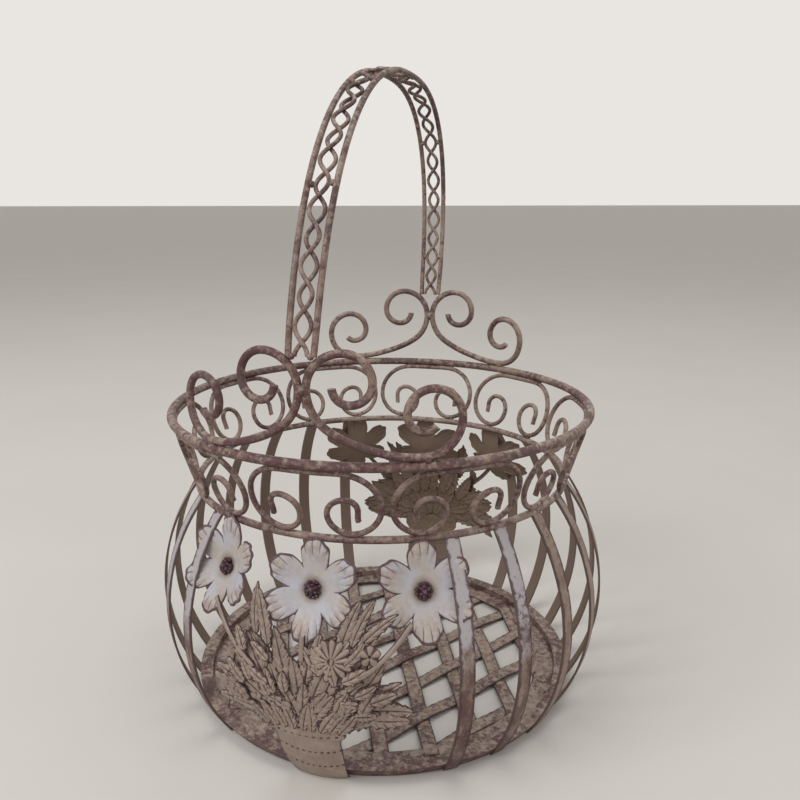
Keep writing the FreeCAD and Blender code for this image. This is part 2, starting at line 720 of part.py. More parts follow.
def flower_petals(name, angle):
    """Dished sheet cut to six pointed petals."""
    gauge = size("flower_gauge")
    back = dish_radius()
    lift = math.sqrt(back ** 2 - size("flower_reach") ** 2)
    ball = doc.addObject("Part::Sphere", name + "_ball")
    ball.Radius = back
    ball.Placement.Base = Vector(0, 0, lift)
    hollow = doc.addObject("Part::Sphere", name + "_hollow")
    hollow.Radius = back - gauge
    hollow.Placement.Base = Vector(0, 0, lift)
    bowl = doc.addObject("Part::Cut", name + "_bowl")
    bowl.Base = ball
    bowl.Tool = hollow
    petals = []
    for number in range(PETALS):
        edge = add("Part::Ellipse", name + "_petal_edge", MajorRadius="Sizes.flower_reach / 2",
                   MinorRadius="Sizes.petal_width / 2")
        turn = Rotation(Vector(0, 0, 1), 90.0 + number * 360.0 / PETALS)
        edge.Placement = Placement(turn.multVec(Vector(size("flower_reach") / 2.0, 0, -back)), turn)
        petal = doc.addObject("Part::Extrusion", name + "_petal")
        petal.Base = edge
        petal.DirMode = "Custom"
        petal.Dir = Vector(0, 0, 1)
        petal.LengthFwd = back + size("flower_depth")
        petal.Solid = True
        petals.append(petal)
    star = doc.addObject("Part::MultiFuse", name + "_star")
    star.Shapes = petals
    made = doc.addObject("Part::MultiCommon", name + "_stamping")
    made.Shapes = [bowl, star]
    made.Placement = flower_frame(angle)
    keep(made, name)


def flower_centre(name, angle):
    """Domed stud in the bottom of the dish."""
    back = dish_radius()
    seat = math.sqrt(back ** 2 - size("flower_reach") ** 2) - back + size("flower_gauge")
    foot = add("Part::Cylinder", name + "_foot", Radius="Sizes.stud_radius", Height="Sizes.stud_foot")
    dome = add("Part::Sphere", name + "_dome", Radius="Sizes.stud_radius")
    dome.Angle1 = 0
    dome.setExpression("Placement.Base.z", "Sizes.stud_foot")
    made = doc.addObject("Part::MultiFuse", name + "_stud")
    made.Shapes = [foot, dome]
    lift = Placement(Vector(0, 0, seat - size("weld_bite") / 2.0), Rotation())
    made.Placement = flower_frame(angle).multiply(lift)
    keep(made, name)


def flowers(panel_name, panel_angle):
    for place, word in ((-1, "left"), (0, "middle"), (1, "right")):
        angle = panel_angle + place * size("flower_spread")
        flower_petals("%s_flower_%s" % (panel_name, word), angle)
        flower_centre("%s_flower_%s_centre" % (panel_name, word), angle)


# ---------------------------------------------------------------- assembly

hoop("rim_hoop", "rim_radius", "rim_rod", "rim_height")
hoop("neck_hoop", "neck_radius", "neck_rod", "neck_height")
base_ring()
base_lattice()
ribs()
for unit in range(COLLAR_UNITS):
    collar_scroll(unit)
for side_name, side_angle in (("front", 0.0), ("back", 180.0)):
    panel(side_name + "_panel", side_angle)
    flowers(side_name, side_angle)
    crest_scroll(side_name + "_crest_left", side_angle, -1)
    crest_scroll(side_name + "_crest_right", side_angle, 1)
bail_rod("handle_rod_left", -1)
bail_rod("handle_rod_right", 1)
bail_wave("handle_wave_over", 1)
bail_wave("handle_wave_under", -1)
bail_tacks()
doc.recompute()


# ------------------------------------------------------------------ export

def check(document):
    faults = [o.Label for o in document.Objects if "Invalid" in o.State or "Error" in o.State]
    for node in nodes:
        if node.Shape.isNull() or not node.Shape.isValid() or not node.Shape.Solids:
            faults.append(node.Label + " shape")
    if faults:
        raise RuntimeError("failed: " + ", ".join(faults))


check(doc)
os.makedirs("parts", exist_ok=True)
for node in nodes:
    node.Shape.exportStep("parts/%s.step" % node.Label)
print("wrote %d sub-parts" % len(nodes))
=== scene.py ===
"""Looks of the wrought-metal flower basket: aged paint, stamped panels, dished flowers, studio.

Frame: metres, origin at the centre of the base on the floor, +Z up, flower panels face -Y and +Y.
An azimuth is measured round +Z from the front (-Y) towards +X.
"""

import math
import random

import bpy
from mathutils import Matrix, Vector


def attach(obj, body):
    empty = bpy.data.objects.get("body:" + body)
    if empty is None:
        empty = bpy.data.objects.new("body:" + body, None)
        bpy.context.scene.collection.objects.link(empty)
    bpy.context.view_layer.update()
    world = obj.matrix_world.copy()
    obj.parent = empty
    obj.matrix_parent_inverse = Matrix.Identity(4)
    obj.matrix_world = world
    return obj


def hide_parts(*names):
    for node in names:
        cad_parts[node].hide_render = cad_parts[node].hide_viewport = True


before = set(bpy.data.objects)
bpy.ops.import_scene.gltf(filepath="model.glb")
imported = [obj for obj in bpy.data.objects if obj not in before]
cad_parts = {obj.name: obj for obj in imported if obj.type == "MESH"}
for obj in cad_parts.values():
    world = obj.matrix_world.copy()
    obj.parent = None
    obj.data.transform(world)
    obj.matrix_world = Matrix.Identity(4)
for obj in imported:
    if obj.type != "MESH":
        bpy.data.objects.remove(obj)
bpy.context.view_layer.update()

MM = 0.001

# Sizes of the frame that the pieces follow, in millimetres.
BELLY_ARC = 111.0
BELLY_CENTRE = (25.036, 65.019)
SHEET = 1.2
RIM_RADIUS = 125.0
RIM_HEIGHT = 176.0
NECK_RADIUS = 112.0
NECK_HEIGHT = 134.0
BASE_RADIUS = 111.6
RIBS_PER_SIDE = 9
RIB_FIRST = 34.5
RIB_STEP = 14.4375
COLLAR_UNITS = 10
FLOWER_RADIUS = 123.99
FLOWER_HEIGHT = 111.17
FLOWER_TILT = 23.8
FLOWER_REACH = 25.0
FLOWER_DEPTH = 5.0
FLOWER_SPREAD = 26.5


# ------------------------------------------------------------------ colours

def colour(text):
    """Linear colour from a hex sRGB text."""
    parts = [int(text[i:i + 2], 16) / 255.0 for i in (0, 2, 4)]
    return [c / 12.92 if c <= 0.04045 else ((c + 0.055) / 1.055) ** 2.4 for c in parts] + [1.0]


TAUPE = colour("9b8679")
TAUPE_DEEP = colour("7e695f")
TAUPE_PALE = colour("b9aa9f")
ROSE_GREY = colour("a8928d")
BLUE_GREY = colour("b9b4ba")
UMBER = colour("40292b")
MAROON = colour("522a31")
PLAIN_INSIDE = colour("7d6a5e")
INSIDE_WARM = colour("75634f")
CREAM = colour("bdb3a9")
CREAM_BLUE = colour("bfbfc8")
THROAT_SHADE = colour("8f7c6c")
VIOLET = colour("4d2c37")
STAMEN = colour("4e2333")
STAMEN_HIGHLIGHT = colour("8f93ad")
FLOOR_SHADE = colour("dcd9d4")
FLOOR = colour("e4e1dc")
SURROUNDINGS = colour("f2efea")


class Paint:
    """A node material with short helpers; every scale is in features per metre."""

    def __init__(self, name, roughness=0.55):
        self.material = bpy.data.materials.new(name)
        self.material.use_nodes = True
        self.tree = self.material.node_tree
        self.shader = self.tree.nodes["Principled BSDF"]
        self.shader.inputs["Roughness"].default_value = roughness
        place = self.tree.nodes.new("ShaderNodeTexCoord")
        self.place = place.outputs["Object"]
        self.normal = self.tree.nodes.new("ShaderNodeNewGeometry").outputs["Normal"]

    def link(self, value, socket):
        if isinstance(value, bpy.types.NodeSocket):
            self.tree.links.new(value, socket)
        else:
            socket.default_value = value

    def maths(self, operation, first, second=0.0):
        node = self.tree.nodes.new("ShaderNodeMath")
        node.operation = operation
        self.link(first, node.inputs[0])
        self.link(second, node.inputs[1])
        return node.outputs[0]

    def times(self, first, *others):
        for other in others:
            first = self.maths("MULTIPLY", first, other)
        return first

    def plus(self, first, second):
        return self.maths("ADD", first, second)

    def minus(self, first, second):
        return self.maths("SUBTRACT", first, second)

    def scatter(self, scale, rough, reach):
        """Ragged noise about zero, reach wide in all."""
        return self.times(self.minus(self.noise(scale, 5.0, rough), 0.5), reach)

    def step(self, value, low, high, floor=0.0, top=1.0):
        """Smooth step from floor at low to top at high."""
        node = self.tree.nodes.new("ShaderNodeMapRange")
        node.interpolation_type = "SMOOTHSTEP"
        for key, part in zip(("Value", "From Min", "From Max", "To Min", "To Max"),
                             (value, low, high, floor, top)):
            self.link(part, node.inputs[key])
        return node.outputs[0]

    def noise(self, scale, detail=3.0, rough=0.55, stretch=(1.0, 1.0, 1.0), shift=0.0):
        spread = self.tree.nodes.new("ShaderNodeMapping")
        spread.inputs["Scale"].default_value = stretch
        spread.inputs["Location"].default_value = (shift, shift * 1.7, shift * 0.6)
        self.link(self.place, spread.inputs["Vector"])
        node = self.tree.nodes.new("ShaderNodeTexNoise")
        node.inputs["Scale"].default_value = scale
        node.inputs["Detail"].default_value = detail
        node.inputs["Roughness"].default_value = rough
        self.link(spread.outputs[0], node.inputs["Vector"])
        return node.outputs["Fac"]

    def mix(self, share, first, second):
        node = self.tree.nodes.new("ShaderNodeMix")
        node.data_type = "RGBA"
        self.link(share, node.inputs[0])
        self.link(first, node.inputs[6])
        self.link(second, node.inputs[7])
        return node.outputs[2]

    def attribute(self, name):
        node = self.tree.nodes.new("ShaderNodeAttribute")
        node.attribute_name = name
        return node.outputs["Fac"]

    def axes(self, vector):
        node = self.tree.nodes.new("ShaderNodeSeparateXYZ")
        self.link(vector, node.inputs[0])
        return node.outputs

    def finish(self, tint, height=None, strength=0.4, distance=0.0004, rough=None):
        self.link(tint, self.shader.inputs["Base Color"])
        if rough is not None:
            self.link(rough, self.shader.inputs["Roughness"])
        if height is not None:
            bump = self.tree.nodes.new("ShaderNodeBump")
            bump.inputs["Strength"].default_value = strength
            bump.inputs["Distance"].default_value = distance
            self.link(height, bump.inputs["Height"])
            self.link(bump.outputs[0], self.shader.inputs["Normal"])
        return self.material


def brushed_coat(paint, shift=0.0):
    """Taupe coat with paler and deeper clouds, a rose-grey dry brushing, and dust with a painted
    highlight on faces that look up.
    """
    clouds = paint.step(paint.noise(55.0, 4.0, 0.6, shift=shift), 0.35, 0.68)
    tint = paint.mix(clouds, TAUPE_DEEP, TAUPE)
    streaks = paint.step(paint.noise(170.0, 5.0, 0.7, shift=shift + 0.4), 0.5, 0.72)
    tint = paint.mix(paint.times(streaks, 0.75), tint, ROSE_GREY)
    # Painted highlight mixed with dust: faces that look up are paled towards TAUPE_PALE in noisy
    # patches.
    up = paint.step(paint.axes(paint.normal)[2], 0.1, 0.95)
    dust_and_highlight = paint.step(paint.noise(260.0, 3.0, shift=2.0), 0.38, 0.62)
    return paint.mix(paint.times(up, dust_and_highlight, 0.7), tint, TAUPE_PALE)


def rubbed_and_underside_shade(paint, tint, amount, shift=0.0):
    """Dark undercoat that shows through in ragged patches, and painted shade in umber on the undersides.
    """
    ragged = paint.noise(330.0, 6.0, 0.72, shift=shift + 1.3)
    broad = paint.noise(38.0, 2.0, 0.5, shift=shift + 3.1)
    field = paint.plus(paint.times(ragged, 0.62), paint.times(broad, 0.38))
    patch = paint.step(field, 0.56 - amount * 0.2, 0.64 - amount * 0.2)
    dark = paint.mix(paint.step(paint.noise(60.0, 2.0, shift=5.0), 0.4, 0.6), UMBER, MAROON)
    tint = paint.mix(paint.times(patch, 0.8), tint, dark)
    # Painted shade: faces that look down are darkened towards UMBER, broken up by noise.
    under = paint.step(paint.axes(paint.normal)[2], 0.05, -0.75)
    ripple = paint.step(paint.noise(240.0, 4.0, shift=shift + 6.0), 0.3, 0.55)
    return paint.mix(paint.times(under, ripple, 0.8), tint, UMBER)


def grain(paint):
    """Height of the slightly lumpy brushed paint."""
    small = paint.noise(900.0, 4.0, 0.6)
    large = paint.noise(160.0, 3.0, 0.5, shift=1.0)
    return paint.plus(paint.times(small, 0.35), large)


def uneven_gloss(paint, low=0.42, high=0.68):
    return paint.step(paint.noise(75.0, 3.0, shift=4.0), 0.3, 0.7, low, high)


def wire_paint(name, amount, front_maroon):
    """Round wire: taupe with umber patches and painted umber shade on the undersides; the front of the
    basket is worn to maroon.
    """
    paint = Paint(name)
    tint = rubbed_and_underside_shade(paint, brushed_coat(paint), amount)
    front = paint.step(paint.axes(paint.place)[1], -0.02, -0.12)
    worn = paint.step(paint.noise(190.0, 6.0, 0.75, shift=7.0), 0.44, 0.6)
    tint = paint.mix(paint.times(front, worn, front_maroon), tint, MAROON)
    return paint.finish(tint, grain(paint), 0.5, 0.0003, uneven_gloss(paint))


def rib_places(paint):
    """Azimuth off the front in degrees, and metres off the middle of the nearest rib."""
    x, y, z = paint.axes(paint.place)
    turn = paint.maths("ARCTAN2", x, paint.times(y, -1.0))
    spread = paint.maths("ABSOLUTE", paint.times(turn, 180.0 / math.pi))
    steps = paint.maths("DIVIDE", paint.minus(spread, RIB_FIRST), RIB_STEP)
    off = paint.maths("ABSOLUTE", paint.minus(steps, paint.maths("ROUND", steps)))
    reach = paint.maths("SQRT", paint.plus(paint.times(x, x), paint.times(y, y)))
    return spread, paint.times(off, math.radians(RIB_STEP), reach)


def facing_in(paint):
    """1 on faces that look towards the axis, 0 on the others."""
    x, y, z = paint.axes(paint.place)
    nx, ny, nz = paint.axes(paint.normal)
    outward = paint.plus(paint.times(nx, x), paint.times(ny, y))
    return paint.step(outward, 0.02, -0.02)


def rib_paint():
    """Flat ribs: dark worn edges, pale front ribs, plain brown on the inside."""
    paint = Paint("rib_paint")
    spread, across = rib_places(paint)
    height = paint.axes(paint.place)[2]
    tint = brushed_coat(paint, 2.0)
    front = paint.step(spread, 62.0, 48.0)
    high = paint.step(paint.plus(height, paint.times(paint.noise(60.0, 4.0), 0.06)), 0.098, 0.118)
    tint = paint.mix(paint.times(front, high, 0.85), tint, BLUE_GREY)
    tint = rubbed_and_underside_shade(paint, tint, 0.1, 1.0)
    worn = paint.step(paint.noise(110.0, 6.0, 0.75, stretch=(1, 1, 0.35), shift=2.5), 0.44, 0.56)
    tint = paint.mix(paint.times(paint.minus(1.0, high), front, worn, 0.7), tint, MAROON)
    edge = paint.step(paint.plus(across, paint.scatter(140.0, 0.7, 0.0055)), 0.0024, 0.0036)
    tint = paint.mix(paint.times(edge, 0.85), tint, UMBER)
    tint = paint.mix(facing_in(paint), tint, PLAIN_INSIDE)
    return paint.finish(tint, grain(paint), 0.35, 0.0003, uneven_gloss(paint, 0.45, 0.7))


def inside_paint():
    """Plain coat of the hidden faces."""
    paint = Paint("inside_paint", 0.7)
    soft = paint.step(paint.noise(40.0, 3.0), 0.3, 0.7)
    tint = paint.mix(soft, INSIDE_WARM, PLAIN_INSIDE)
    return paint.finish(tint, grain(paint), 0.25, 0.0003)


def relief_paint():
    """Stamped sheet: umber in the hollows and round the edges, taupe on the high places."""
    paint = Paint("relief_paint")
    tint = paint.mix(0.25, brushed_coat(paint, 1.5), TAUPE_PALE)
    hollow = paint.plus(paint.attribute("hollow"), paint.scatter(260.0, 0.7, 0.9))
    tint = paint.mix(paint.times(paint.step(hollow, 0.28, 0.66), 0.92), tint, UMBER)
    return paint.finish(tint, grain(paint), 0.5, 0.0004, uneven_gloss(paint, 0.5, 0.72))


def lattice_paint():
    """Base sheet: worn coat with painted shade on the undersides; painted shade along the edges of the
    bars and in their twill grooves, and a dark inner edge round the plain rim.
    """
    paint = Paint("lattice_paint")
    tint = rubbed_and_underside_shade(paint, brushed_coat(paint, 3.0), 0.35, 2.0)
    # Painted shade: umber along the bar edges and twill grooves, from the hollow value.
    edge = paint.plus(paint.attribute("hollow"), paint.scatter(200.0, 0.7, 1.0))
    tint = paint.mix(paint.times(paint.step(edge, 0.5, 0.8), 0.85), tint, UMBER)
    return paint.finish(tint, grain(paint), 0.5, 0.0004, uneven_gloss(paint))


def petal_paint():
    """Creamy petals, bluish in places, with violet-brown edges and veins, and painted taupe shade in the
    throat.
    """
    paint = Paint("petal_paint")
    out = paint.attribute("reach")
    cream = paint.mix(paint.step(paint.noise(70.0, 4.0), 0.35, 0.65), CREAM, CREAM_BLUE)
    throat = paint.plus(out, paint.times(paint.noise(150.0, 4.0), 0.16))
    # Painted shade: the throat of the dish is taupe, fading to cream outward.
    tint = paint.mix(paint.step(throat, 0.2, 0.42), THROAT_SHADE, cream)
    smoke = paint.step(paint.noise(170.0, 6.0, 0.75, shift=3.0), 0.44, 0.64)
    tint = paint.mix(paint.times(smoke, paint.step(out, 0.4, 0.9, 0.25, 0.9)), tint, ROSE_GREY)
    ragged = paint.scatter(330.0, 0.75, 0.8)
    vein = paint.step(paint.plus(paint.attribute("vein"), ragged), 0.4, 0.85)
    tint = paint.mix(paint.times(vein, 0.7), tint, VIOLET)
    rim = paint.step(paint.plus(paint.attribute("hollow"), ragged), 0.34, 0.7)
    tint = paint.mix(paint.times(rim, 0.9), tint, VIOLET)
    return paint.finish(tint, grain(paint), 0.4, 0.0004, uneven_gloss(paint, 0.4, 0.6))


def stamen_paint():
    """Dark purple beads with a painted bluish highlight on the tops of a few."""
    paint = Paint("stamen_paint")
    ragged = paint.noise(420.0, 5.0, 0.7)
    dark = paint.mix(paint.step(ragged, 0.4, 0.6), STAMEN, UMBER)
    # Painted highlight: the bead tops, where reach is high, turn bluish in noisy patches.
    crown = paint.plus(paint.attribute("reach"), paint.times(ragged, 0.8))
    tint = paint.mix(paint.times(paint.step(crown, 1.3, 1.6), 0.75), dark, STAMEN_HIGHLIGHT)
    return paint.finish(tint, ragged, 0.6, 0.0006, uneven_gloss(paint, 0.35, 0.55))


def floor_paint():
    paint = Paint("floor_paint", 0.9)
    tint = paint.mix(paint.noise(6.0, 2.0), FLOOR_SHADE, FLOOR)
    return paint.finish(tint)


# ------------------------------------------------------------------- shapes

def smooth(value, low, high):
    """Smooth step of a plain number."""
    share = min(1.0, max(0.0, (value - low) / (high - low)))
    return share * share * (3.0 - 2.0 * share)


def polar(angle, radius, height):
    turn = math.radians(angle)
    return Vector((radius * math.sin(turn), -radius * math.cos(turn), height)) * MM


def belly_radius(height):
    centre_radius, centre_height = BELLY_CENTRE
    return centre_radius + math.sqrt(BELLY_ARC ** 2 - (height - centre_height) ** 2)


def on_belly(facing, across, height, lift):
    """Point on the belly in front of a panel; lift is along the surface normal."""
    centre_radius, centre_height = BELLY_CENTRE
    height = min(max(height, 0.6), 128.0)
    radius = belly_radius(height)
    slope = math.asin((height - centre_height) / BELLY_ARC)
    azimuth = facing + math.degrees(across / radius)
    reach = SHEET / 2.0 + lift
    return polar(azimuth, radius + reach * math.cos(slope), max(0.8, height + reach * math.sin(slope)))


class Sheet:
    """Gathers vertices, faces and per-vertex values, then makes one object of them."""

    def __init__(self, *values):
        self.points = []
        self.faces = []
        self.values = {value: [] for value in values}

    def point(self, place, **values):
        self.points.append(place)
        for name, kept in self.values.items():
            kept.append(values.get(name, 0.0))
        return len(self.points) - 1

    def grid(self, rows, closed=False):
        """Faces between rows of point numbers."""
        for first, second in zip(rows, rows[1:]):
            count = len(first) if closed else len(first) - 1
            for number in range(count):
                after = (number + 1) % len(first)
                self.faces.append((first[number], first[after], second[after], second[number]))

    def made(self, name, materials, slot, thickness=0.0, offset=-1.0):
        mesh = bpy.data.meshes.new(name)
        mesh.from_pydata(self.points, [], self.faces)
        for value, kept in self.values.items():
            layer = mesh.attributes.new(value, "FLOAT", "POINT")
            layer.data.foreach_set("value", kept)
        for material in materials:
            mesh.materials.append(material)
        mesh.update()
        mesh.shade_smooth()
        made = bpy.data.objects.new(name, mesh)
        bpy.context.scene.collection.objects.link(made)
        if thickness:
            solid = made.modifiers.new("thickness", "SOLIDIFY")
            solid.thickness = thickness
            solid.offset = offset
            solid.material_offset = len(materials) - 1
            solid.material_offset_rim = 0
        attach(made, "root")
        return made


def leaf(sheet, facing, foot, heading, length, width, lift, teeth=6, bend=0.0, tip_drop=0.9):
    """Serrated leaf with a sunk midrib and side veins, laid on the belly.

    foot is (across, height); heading is in degrees from straight up towards +across.
    """
    along_steps, across_steps = 30, 12
    rows = []
    place = Vector(foot)
    for i in range(along_steps + 1):
        share = i / along_steps
        lean = math.radians(heading + bend * share)
        forward = Vector((math.sin(lean), math.cos(lean)))
        side = Vector((forward.y, -forward.x))
        if i:
            place = place + forward * (length / along_steps)
        form = math.sin(math.pi * min(1.0, share ** 0.8 * 0.985 + 0.012)) ** 0.75
        tooth = 1.0 - 0.3 * ((share * teeth) % 1.0)
        half = width / 2.0 * form * tooth + 0.15
        row = []
        for j in range(across_steps + 1):
            off = 2.0 * j / across_steps - 1.0
            spot = place + side * (off * half)
            camber = 0.9 * (1.0 - off * off)
            veins = math.cos(2.0 * math.pi * (teeth * share - 1.1 * abs(off)))
            midrib = math.exp(-(off / 0.14) ** 2)
            ripple = 0.32 * veins * smooth(abs(off), 0.05, 0.4)
            rise = lift + camber + ripple - 0.75 * midrib - tip_drop * share * share
            groove = max(midrib * 0.75, 0.62 * smooth(-veins, 0.25, 1.0) * smooth(abs(off), 0.1, 0.3))
            rim = smooth(abs(off), 0.6, 0.95)
            ends = max(smooth(share, 0.93, 1.0), smooth(0.08 - share, 0.0, 0.08))
            row.append(sheet.point(on_belly(facing, spot.x, spot.y, rise),
                                   hollow=min(1.0, max(groove, rim, ends))))
        rows.append(row)
    sheet.grid(rows)


def rosette(sheet, facing, centre, radius, flutes, lift):
    """Small fluted flower seen from above, with a scalloped outline."""
    rings, spokes = 9, flutes * 6
    rows = []
    for i in range(rings + 1):
        share = i / rings
        row = []
        for j in range(spokes):
            turn = 2.0 * math.pi * j / spokes
            wave = math.cos(flutes * turn)
            reach = radius * share * (1.0 + 0.10 * wave * smooth(share, 0.5, 1.0))
            dome = 1.5 * math.cos(share * math.pi / 2.0) - 1.1 * math.exp(-(share / 0.16) ** 2)
            rise = lift + dome + 0.45 * wave * smooth(share, 0.15, 0.6)
            groove = smooth(-wave, 0.1, 0.9) * smooth(share, 0.12, 0.3)
            hollow = max(groove * 0.9, smooth(share, 0.86, 1.0), math.exp(-(share / 0.2) ** 2))
            row.append(sheet.point(on_belly(facing, centre[0] + reach * math.sin(turn),
                                            centre[1] + reach * math.cos(turn), rise), hollow=hollow))
        rows.append(row)
    sheet.grid(rows, closed=True)


def stem(sheet, facing, first, last, width, lift, sag=0.0):
    """Half-round stem between two places on the panel."""
    rows = []
    run = Vector(last) - Vector(first)
    side = Vector((run.y, -run.x)).normalized()
    for i in range(17):
        share = i / 16
        middle = Vector(first) + run * share + side * (sag * math.sin(math.pi * share))
        row = []
        for j in range(7):
            off = j / 3.0 - 1.0
            spot = middle + side * (off * width / 2.0)
            rise = lift + width * 0.45 * math.sqrt(max(0.0, 1.0 - off * off))
            edge = smooth(abs(off), 0.5, 1.0)
            row.append(sheet.point(on_belly(facing, spot.x, spot.y, rise), hollow=edge))
        rows.append(row)
    sheet.grid(rows)


def pot(sheet, facing):
    """Crowned flower pot with stitched bands round it."""
    rows = []
    for i in range(61):
        height = 0.8 + 46.0 * i / 60
        flare = 17.2 + 3.4 * smooth(height, 34.0, 40.0) - 1.6 * smooth(22.0 - height, 0.0, 22.0)
        row = []
        for j in range(73):
            off = j / 36.0 - 1.0
            crown = 2.6 * math.sqrt(max(0.0, 1.0 - off * off * 0.94))
            dent = 0.0
            for band in (14.0, 26.0, 38.0, 43.5):
                near = math.exp(-((height - band + 2.0 * (1.0 - off * off) - 2.0) / 0.75) ** 2)
                stitch = smooth(math.sin(off * 34.0 + band), -0.2, 0.5)
                dent = max(dent, near * stitch)
            weave = 0.16 * math.sin(height * 2.4) * math.sin(off * 40.0 + (height // 1.3) * math.pi)
            lip = 0.8 * smooth(height, 36.5, 38.5)
            rise = crown + weave + lip - 0.75 * dent
            hollow = max(dent * 0.95, smooth(abs(off), 0.93, 1.0), smooth(height, 45.6, 46.8))
            row.append(sheet.point(on_belly(facing, off * flare, height, rise), hollow=hollow))
        rows.append(row)
    sheet.grid(rows)


# Each tier of leaves: how many, distance from the pot's mouth, length, width, lift, fan angle.
LEAF_TIERS = ((17, 23.0, 27.0, 11.5, 0.4, 104.0),
              (13, 13.0, 25.0, 11.0, 1.5, 92.0),
              (9, 4.0, 21.0, 9.5, 2.5, 78.0))


def foliage(sheet, facing, dice):
    """Tiers of leaves that fan out of the pot, then smaller leaves and rosettes on top."""
    for count, start, length, width, lift, fan in LEAF_TIERS:
        for number in range(count):
            heading = fan * (2.0 * number / (count - 1) - 1.0) + dice.uniform(-4.0, 4.0)
            lean = math.radians(heading)
            rise = 0.35 + 0.65 * max(0.0, math.cos(lean))
            foot = (start * 1.25 * math.sin(lean), 43.5 + start * rise)
            leaf(sheet, facing, foot, heading,
                 length * dice.uniform(0.88, 1.08), width * dice.uniform(0.9, 1.15),
                 lift + dice.uniform(-0.3, 0.3), dice.choice((5, 6, 7)), dice.uniform(-28.0, 28.0))
    for number in range(26):
        across = dice.uniform(-36.0, 36.0)
        height = dice.uniform(50.0, 90.0 - abs(across) * 0.35)
        heading = math.degrees(math.atan2(across, height - 42.0)) + dice.uniform(-50.0, 50.0)
        leaf(sheet, facing, (across, height), heading, dice.uniform(10.0, 16.0), dice.uniform(6.0, 9.5),
             dice.uniform(2.6, 3.4), dice.choice((3, 4, 5)), dice.uniform(-45.0, 45.0), 1.6)
    for number in range(9):
        across = 4.4 * (number - 4)
        leaf(sheet, facing, (across, 43.0), across * 2.4 + dice.uniform(-9.0, 9.0),
             dice.uniform(15.0, 19.0), 7.5, 3.4, dice.choice((4, 5)), dice.uniform(-20.0, 20.0), 0.4)
    rosette(sheet, facing, (15.0, 82.0), 10.0, 13, 2.8)
    rosette(sheet, facing, (33.0, 85.0), 5.0, 5, 2.4)


def relief_panel(name, facing, seed):
    """The stamped front of one panel: pot, foliage, stems and buds under the flowers."""
    sheet = Sheet("hollow")
    dice = random.Random(seed)
    pot(sheet, facing)
    foliage(sheet, facing, dice)
    for side in (-1.0, 1.0):
        top = (side * 52.0, 99.0)
        stem(sheet, facing, (side * 26.0, 72.0), top, 3.0, 1.8, 2.0 * side)
        leaf(sheet, facing, (side * 18.0, 84.0), side * 12.0, 27.0, 9.0, 1.4, 6, side * 14.0)
    stem(sheet, facing, (0.0, 80.0), (0.0, 92.0), 3.2, 1.6)
    for across, heading in ((24.0, 14.0), (27.0, 40.0), (-25.0, -16.0)):
        leaf(sheet, facing, (across, 88.0), heading, 24.0, 7.0, 1.2, 5, 20.0)
    made = sheet.made(name, (relief, inside), "panel_taupe", 0.5 * MM)
    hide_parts(name.replace("_relief", ""))
    return made


# ------------------------------------------------------------------ flowers

def flower_frame(azimuth):
    """Matrix of a flower: x to its side, y up along the petals, z outward."""
    turn, tilt = math.radians(azimuth), math.radians(FLOWER_TILT)
    level = Vector((math.sin(turn), -math.cos(turn), 0.0))
    outward = level * math.cos(tilt) + Vector((0.0, 0.0, math.sin(tilt)))
    upward = level * -math.sin(tilt) + Vector((0.0, 0.0, math.cos(tilt)))
    aside = upward.cross(outward)
    matrix = Matrix((aside, upward, outward)).transposed().to_4x4()
    matrix.translation = polar(azimuth, FLOWER_RADIUS, FLOWER_HEIGHT)
    return matrix


def petal_edge(off, lean):
    """Reach of a petal at off, from -1 to 1 across it, as a share of the flower's reach."""
    blunt = 1.0 - 0.45 * abs(off) ** 3.0
    point = 0.05 * math.exp(-(off / 0.22) ** 2)
    ripple = 0.014 * math.cos(off * 13.0 + lean * 5.0)
    return (blunt + point + ripple) * (1.0 + 0.035 * lean)


def flower(name, azimuth, seed):
    """Six dished petals with fine veins, pressed from one sheet."""
    frame_here = flower_frame(azimuth)
    dice = random.Random(seed)
    leans = [dice.uniform(-1.0, 1.0) for _ in range(6)]
    sheet = Sheet("hollow", "vein", "reach")
    rings, spokes = 30, 6 * 26
    rows = []
    for i in range(rings + 1):
        share = i / rings
        row = []
        for j in range(spokes):
            petal, within = divmod(j, 26)
            off = (within + 0.5) / 13.0 - 1.0
            turn = math.radians(60.0 * petal + 30.0 * off)
            edge = petal_edge(off, leans[petal])
            reach = FLOWER_REACH * share * edge
            radial = reach / FLOWER_REACH
            dish = FLOWER_DEPTH * (0.35 * radial + 0.65 * radial ** 2) - FLOWER_DEPTH
            cup = 2.0 * (1.0 - off * off) * smooth(radial, 0.32, 0.8)
            curl = 0.9 * smooth(share, 0.84, 1.0)
            veins = math.cos(off * 17.0 + leans[petal] * 2.0)
            ripple = 0.34 * veins * smooth(radial, 0.45, 0.8)
            well = 1.1 * math.exp(-(radial / 0.22) ** 2)
            rise = dish + 1.0 + cup - 0.9 - curl + ripple - well + 0.35 * leans[petal] * radial
            near = 1.0 - smooth((1.0 - share) * FLOWER_REACH * edge, 0.5, 2.6)
            notch = smooth(abs(off), 0.86, 1.0) * smooth(radial, 0.36, 0.52)
            row.append(sheet.point(
                frame_here @ (Vector((reach * math.sin(turn), reach * math.cos(turn), rise)) * MM),
                hollow=max(near, notch * 0.8),
                vein=smooth(-veins, 0.45, 1.0) * smooth(radial, 0.5, 0.8),
                reach=radial))
        rows.append(row)
    sheet.grid(rows, closed=True)
    return sheet.made(name, (petals, inside), "flower_cream", 0.55 * MM)


